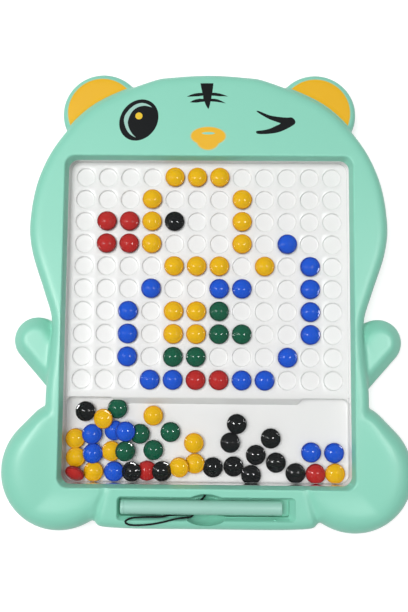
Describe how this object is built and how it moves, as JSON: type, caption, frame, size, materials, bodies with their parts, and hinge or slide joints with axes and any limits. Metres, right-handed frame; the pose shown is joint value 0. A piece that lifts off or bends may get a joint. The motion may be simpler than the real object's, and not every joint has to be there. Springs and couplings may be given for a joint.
{
  "type": "magnetic drawing board",
  "caption": "Magnetic bead drawing board in a cub-shaped casing, with a clear cover, a dimpled plate, a bead pocket and a tethered magnet pen in its slot.",
  "frame": {"origin": "centre of the back face, on the surface that the board lies on", "axes": "+X to the board's right, +Y up the board towards its ears, +Z out of the face"},
  "size_m": [0.2942, 0.3339, 0.0265],
  "materials": {
    "mint_casing": "satin moulded",
    "mint_back": "matt moulded",
    "clear_cover": "clear moulded plastic",
    "white_tray": "satin moulded",
    "yellow_bead": "gloss",
    "red_bead": "gloss",
    "blue_bead": "gloss",
    "green_bead": "gloss",
    "black_bead": "gloss",
    "pen_mint": "satin",
    "magnet": "nickel plated",
    "screw_steel": "zinc plated",
    "black_cord": "braided"
  },
  "bodies": {
    "root": {"front_shell": "mint_casing", "back_cover": "mint_back", "clear_window": "clear_cover", "bead_tray": "white_tray", "back_screw_1": "screw_steel", "back_screw_2": "screw_steel", "back_screw_3": "screw_steel", "back_screw_4": "screw_steel", "tether_cord": "black_cord"},
    "pen": {"pen_barrel": "pen_mint", "pen_magnet": "magnet", "pen_tail_plug": "pen_mint"},
    "yellow_bead_row01_col05": {"yellow_bead_row01_col05": "yellow_bead"},
    "yellow_bead_row01_col06": {"yellow_bead_row01_col06": "yellow_bead"},
    "yellow_bead_row01_col07": {"yellow_bead_row01_col07": "yellow_bead"},
    "yellow_bead_row02_col04": {"yellow_bead_row02_col04": "yellow_bead"},
    "yellow_bead_row02_col08": {"yellow_bead_row02_col08": "yellow_bead"},
    "yellow_bead_row03_col04": {"yellow_bead_row03_col04": "yellow_bead"},
    "yellow_bead_row03_col08": {"yellow_bead_row03_col08": "yellow_bead"},
    "yellow_bead_row04_col04": {"yellow_bead_row04_col04": "yellow_bead"},
    "yellow_bead_row04_col08": {"yellow_bead_row04_col08": "yellow_bead"},
    "yellow_bead_row05_col05": {"yellow_bead_row05_col05": "yellow_bead"},
    "yellow_bead_row05_col06": {"yellow_bead_row05_col06": "yellow_bead"},
    "yellow_bead_row05_col07": {"yellow_bead_row05_col07": "yellow_bead"},
    "yellow_bead_row05_col09": {"yellow_bead_row05_col09": "yellow_bead"},
    "yellow_bead_row07_col05": {"yellow_bead_row07_col05": "yellow_bead"},
    "yellow_bead_row07_col06": {"yellow_bead_row07_col06": "yellow_bead"},
    "yellow_bead_row08_col05": {"yellow_bead_row08_col05": "yellow_bead"},
    "yellow_bead_row08_col06": {"yellow_bead_row08_col06": "yellow_bead"},
    "red_bead_row03_col02": {"red_bead_row03_col02": "red_bead"},
    "red_bead_row03_col03": {"red_bead_row03_col03": "red_bead"},
    "red_bead_row04_col02": {"red_bead_row04_col02": "red_bead"},
    "red_bead_row04_col03": {"red_bead_row04_col03": "red_bead"},
    "red_bead_row10_col06": {"red_bead_row10_col06": "red_bead"},
    "red_bead_row10_col07": {"red_bead_row10_col07": "red_bead"},
    "black_bead_row03_col05": {"black_bead_row03_col05": "black_bead"},
    "blue_bead_row04_col10": {"blue_bead_row04_col10": "blue_bead"},
    "blue_bead_row05_col11": {"blue_bead_row05_col11": "blue_bead"},
    "blue_bead_row06_col04": {"blue_bead_row06_col04": "blue_bead"},
    "blue_bead_row06_col07": {"blue_bead_row06_col07": "blue_bead"},
    "blue_bead_row06_col08": {"blue_bead_row06_col08": "blue_bead"},
    "blue_bead_row06_col11": {"blue_bead_row06_col11": "blue_bead"},
    "blue_bead_row07_col03": {"blue_bead_row07_col03": "blue_bead"},
    "blue_bead_row07_col11": {"blue_bead_row07_col11": "blue_bead"},
    "blue_bead_row08_col03": {"blue_bead_row08_col03": "blue_bead"},
    "blue_bead_row08_col11": {"blue_bead_row08_col11": "blue_bead"},
    "blue_bead_row09_col03": {"blue_bead_row09_col03": "blue_bead"},
    "blue_bead_row09_col10": {"blue_bead_row09_col10": "blue_bead"},
    "blue_bead_row10_col04": {"blue_bead_row10_col04": "blue_bead"},
    "blue_bead_row10_col05": {"blue_bead_row10_col05": "blue_bead"},
    "blue_bead_row10_col08": {"blue_bead_row10_col08": "blue_bead"},
    "blue_bead_row10_col09": {"blue_bead_row10_col09": "blue_bead"},
    "green_bead_row07_col07": {"green_bead_row07_col07": "green_bead"},
    "green_bead_row08_col07": {"green_bead_row08_col07": "green_bead"},
    "green_bead_row08_col08": {"green_bead_row08_col08": "green_bead"},
    "green_bead_row09_col05": {"green_bead_row09_col05": "green_bead"},
    "green_bead_row09_col06": {"green_bead_row09_col06": "green_bead"},
    "bead_heap": {"bead_heap": "yellow_bead"},
    "corner_bead_heap": {"corner_bead_heap": "blue_bead"},
    "black_bead_pair": {"black_bead_pair": "black_bead"}
  },
  "joints": [
    {"name": "pen_lift", "type": "slide", "parent": "root", "child": "pen", "axis": [0, 0, 1], "range_m": [0, 0.05]},
    {"name": "yellow_bead_row01_col05_lift", "type": "slide", "parent": "root", "child": "yellow_bead_row01_col05", "axis": [0, 0, 1], "range_m": [0, 0.0013]},
    {"name": "yellow_bead_row01_col06_lift", "type": "slide", "parent": "root", "child": "yellow_bead_row01_col06", "axis": [0, 0, 1], "range_m": [0, 0.0013]},
    {"name": "yellow_bead_row01_col07_lift", "type": "slide", "parent": "root", "child": "yellow_bead_row01_col07", "axis": [0, 0, 1], "range_m": [0, 0.0013]},
    {"name": "yellow_bead_row02_col04_lift", "type": "slide", "parent": "root", "child": "yellow_bead_row02_col04", "axis": [0, 0, 1], "range_m": [0, 0.0013]},
    {"name": "yellow_bead_row02_col08_lift", "type": "slide", "parent": "root", "child": "yellow_bead_row02_col08", "axis": [0, 0, 1], "range_m": [0, 0.0013]},
    {"name": "yellow_bead_row03_col04_lift", "type": "slide", "parent": "root", "child": "yellow_bead_row03_col04", "axis": [0, 0, 1], "range_m": [0, 0.0013]},
    {"name": "yellow_bead_row03_col08_lift", "type": "slide", "parent": "root", "child": "yellow_bead_row03_col08", "axis": [0, 0, 1], "range_m": [0, 0.0013]},
    {"name": "yellow_bead_row04_col04_lift", "type": "slide", "parent": "root", "child": "yellow_bead_row04_col04", "axis": [0, 0, 1], "range_m": [0, 0.0013]},
    {"name": "yellow_bead_row04_col08_lift", "type": "slide", "parent": "root", "child": "yellow_bead_row04_col08", "axis": [0, 0, 1], "range_m": [0, 0.0013]},
    {"name": "yellow_bead_row05_col05_lift", "type": "slide", "parent": "root", "child": "yellow_bead_row05_col05", "axis": [0, 0, 1], "range_m": [0, 0.0013]},
    {"name": "yellow_bead_row05_col06_lift", "type": "slide", "parent": "root", "child": "yellow_bead_row05_col06", "axis": [0, 0, 1], "range_m": [0, 0.0013]},
    {"name": "yellow_bead_row05_col07_lift", "type": "slide", "parent": "root", "child": "yellow_bead_row05_col07", "axis": [0, 0, 1], "range_m": [0, 0.0013]},
    {"name": "yellow_bead_row05_col09_lift", "type": "slide", "parent": "root", "child": "yellow_bead_row05_col09", "axis": [0, 0, 1], "range_m": [0, 0.0013]},
    {"name": "yellow_bead_row07_col05_lift", "type": "slide", "parent": "root", "child": "yellow_bead_row07_col05", "axis": [0, 0, 1], "range_m": [0, 0.0013]},
    {"name": "yellow_bead_row07_col06_lift", "type": "slide", "parent": "root", "child": "yellow_bead_row07_col06", "axis": [0, 0, 1], "range_m": [0, 0.0013]},
    {"name": "yellow_bead_row08_col05_lift", "type": "slide", "parent": "root", "child": "yellow_bead_row08_col05", "axis": [0, 0, 1], "range_m": [0, 0.0013]},
    {"name": "yellow_bead_row08_col06_lift", "type": "slide", "parent": "root", "child": "yellow_bead_row08_col06", "axis": [0, 0, 1], "range_m": [0, 0.0013]},
    {"name": "red_bead_row03_col02_lift", "type": "slide", "parent": "root", "child": "red_bead_row03_col02", "axis": [0, 0, 1], "range_m": [0, 0.0013]},
    {"name": "red_bead_row03_col03_lift", "type": "slide", "parent": "root", "child": "red_bead_row03_col03", "axis": [0, 0, 1], "range_m": [0, 0.0013]},
    {"name": "red_bead_row04_col02_lift", "type": "slide", "parent": "root", "child": "red_bead_row04_col02", "axis": [0, 0, 1], "range_m": [0, 0.0013]},
    {"name": "red_bead_row04_col03_lift", "type": "slide", "parent": "root", "child": "red_bead_row04_col03", "axis": [0, 0, 1], "range_m": [0, 0.0013]},
    {"name": "red_bead_row10_col06_lift", "type": "slide", "parent": "root", "child": "red_bead_row10_col06", "axis": [0, 0, 1], "range_m": [0, 0.0013]},
    {"name": "red_bead_row10_col07_lift", "type": "slide", "parent": "root", "child": "red_bead_row10_col07", "axis": [0, 0, 1], "range_m": [0, 0.0013]},
    {"name": "black_bead_row03_col05_lift", "type": "slide", "parent": "root", "child": "black_bead_row03_col05", "axis": [0, 0, 1], "range_m": [0, 0.0013]},
    {"name": "blue_bead_row04_col10_lift", "type": "slide", "parent": "root", "child": "blue_bead_row04_col10", "axis": [0, 0, 1], "range_m": [0, 0.0013]},
    {"name": "blue_bead_row05_col11_lift", "type": "slide", "parent": "root", "child": "blue_bead_row05_col11", "axis": [0, 0, 1], "range_m": [0, 0.0013]},
    {"name": "blue_bead_row06_col04_lift", "type": "slide", "parent": "root", "child": "blue_bead_row06_col04", "axis": [0, 0, 1], "range_m": [0, 0.0013]},
    {"name": "blue_bead_row06_col07_lift", "type": "slide", "parent": "root", "child": "blue_bead_row06_col07", "axis": [0, 0, 1], "range_m": [0, 0.0013]},
    {"name": "blue_bead_row06_col08_lift", "type": "slide", "parent": "root", "child": "blue_bead_row06_col08", "axis": [0, 0, 1], "range_m": [0, 0.0013]},
    {"name": "blue_bead_row06_col11_lift", "type": "slide", "parent": "root", "child": "blue_bead_row06_col11", "axis": [0, 0, 1], "range_m": [0, 0.0013]},
    {"name": "blue_bead_row07_col03_lift", "type": "slide", "parent": "root", "child": "blue_bead_row07_col03", "axis": [0, 0, 1], "range_m": [0, 0.0013]},
    {"name": "blue_bead_row07_col11_lift", "type": "slide", "parent": "root", "child": "blue_bead_row07_col11", "axis": [0, 0, 1], "range_m": [0, 0.0013]},
    {"name": "blue_bead_row08_col03_lift", "type": "slide", "parent": "root", "child": "blue_bead_row08_col03", "axis": [0, 0, 1], "range_m": [0, 0.0013]},
    {"name": "blue_bead_row08_col11_lift", "type": "slide", "parent": "root", "child": "blue_bead_row08_col11", "axis": [0, 0, 1], "range_m": [0, 0.0013]},
    {"name": "blue_bead_row09_col03_lift", "type": "slide", "parent": "root", "child": "blue_bead_row09_col03", "axis": [0, 0, 1], "range_m": [0, 0.0013]},
    {"name": "blue_bead_row09_col10_lift", "type": "slide", "parent": "root", "child": "blue_bead_row09_col10", "axis": [0, 0, 1], "range_m": [0, 0.0013]},
    {"name": "blue_bead_row10_col04_lift", "type": "slide", "parent": "root", "child": "blue_bead_row10_col04", "axis": [0, 0, 1], "range_m": [0, 0.0013]},
    {"name": "blue_bead_row10_col05_lift", "type": "slide", "parent": "root", "child": "blue_bead_row10_col05", "axis": [0, 0, 1], "range_m": [0, 0.0013]},
    {"name": "blue_bead_row10_col08_lift", "type": "slide", "parent": "root", "child": "blue_bead_row10_col08", "axis": [0, 0, 1], "range_m": [0, 0.0013]},
    {"name": "blue_bead_row10_col09_lift", "type": "slide", "parent": "root", "child": "blue_bead_row10_col09", "axis": [0, 0, 1], "range_m": [0, 0.0013]},
    {"name": "green_bead_row07_col07_lift", "type": "slide", "parent": "root", "child": "green_bead_row07_col07", "axis": [0, 0, 1], "range_m": [0, 0.0013]},
    {"name": "green_bead_row08_col07_lift", "type": "slide", "parent": "root", "child": "green_bead_row08_col07", "axis": [0, 0, 1], "range_m": [0, 0.0013]},
    {"name": "green_bead_row08_col08_lift", "type": "slide", "parent": "root", "child": "green_bead_row08_col08", "axis": [0, 0, 1], "range_m": [0, 0.0013]},
    {"name": "green_bead_row09_col05_lift", "type": "slide", "parent": "root", "child": "green_bead_row09_col05", "axis": [0, 0, 1], "range_m": [0, 0.0013]},
    {"name": "green_bead_row09_col06_lift", "type": "slide", "parent": "root", "child": "green_bead_row09_col06", "axis": [0, 0, 1], "range_m": [0, 0.0013]},
    {"name": "bead_heap_lift", "type": "slide", "parent": "root", "child": "bead_heap", "axis": [0, 0, 1], "range_m": [0, 0.003]},
    {"name": "corner_bead_heap_lift", "type": "slide", "parent": "root", "child": "corner_bead_heap", "axis": [0, 0, 1], "range_m": [0, 0.005]},
    {"name": "black_bead_pair_slide", "type": "slide", "parent": "root", "child": "black_bead_pair", "axis": [1, 0, 0], "range_m": [-0.011, 0.005]}
  ]
}
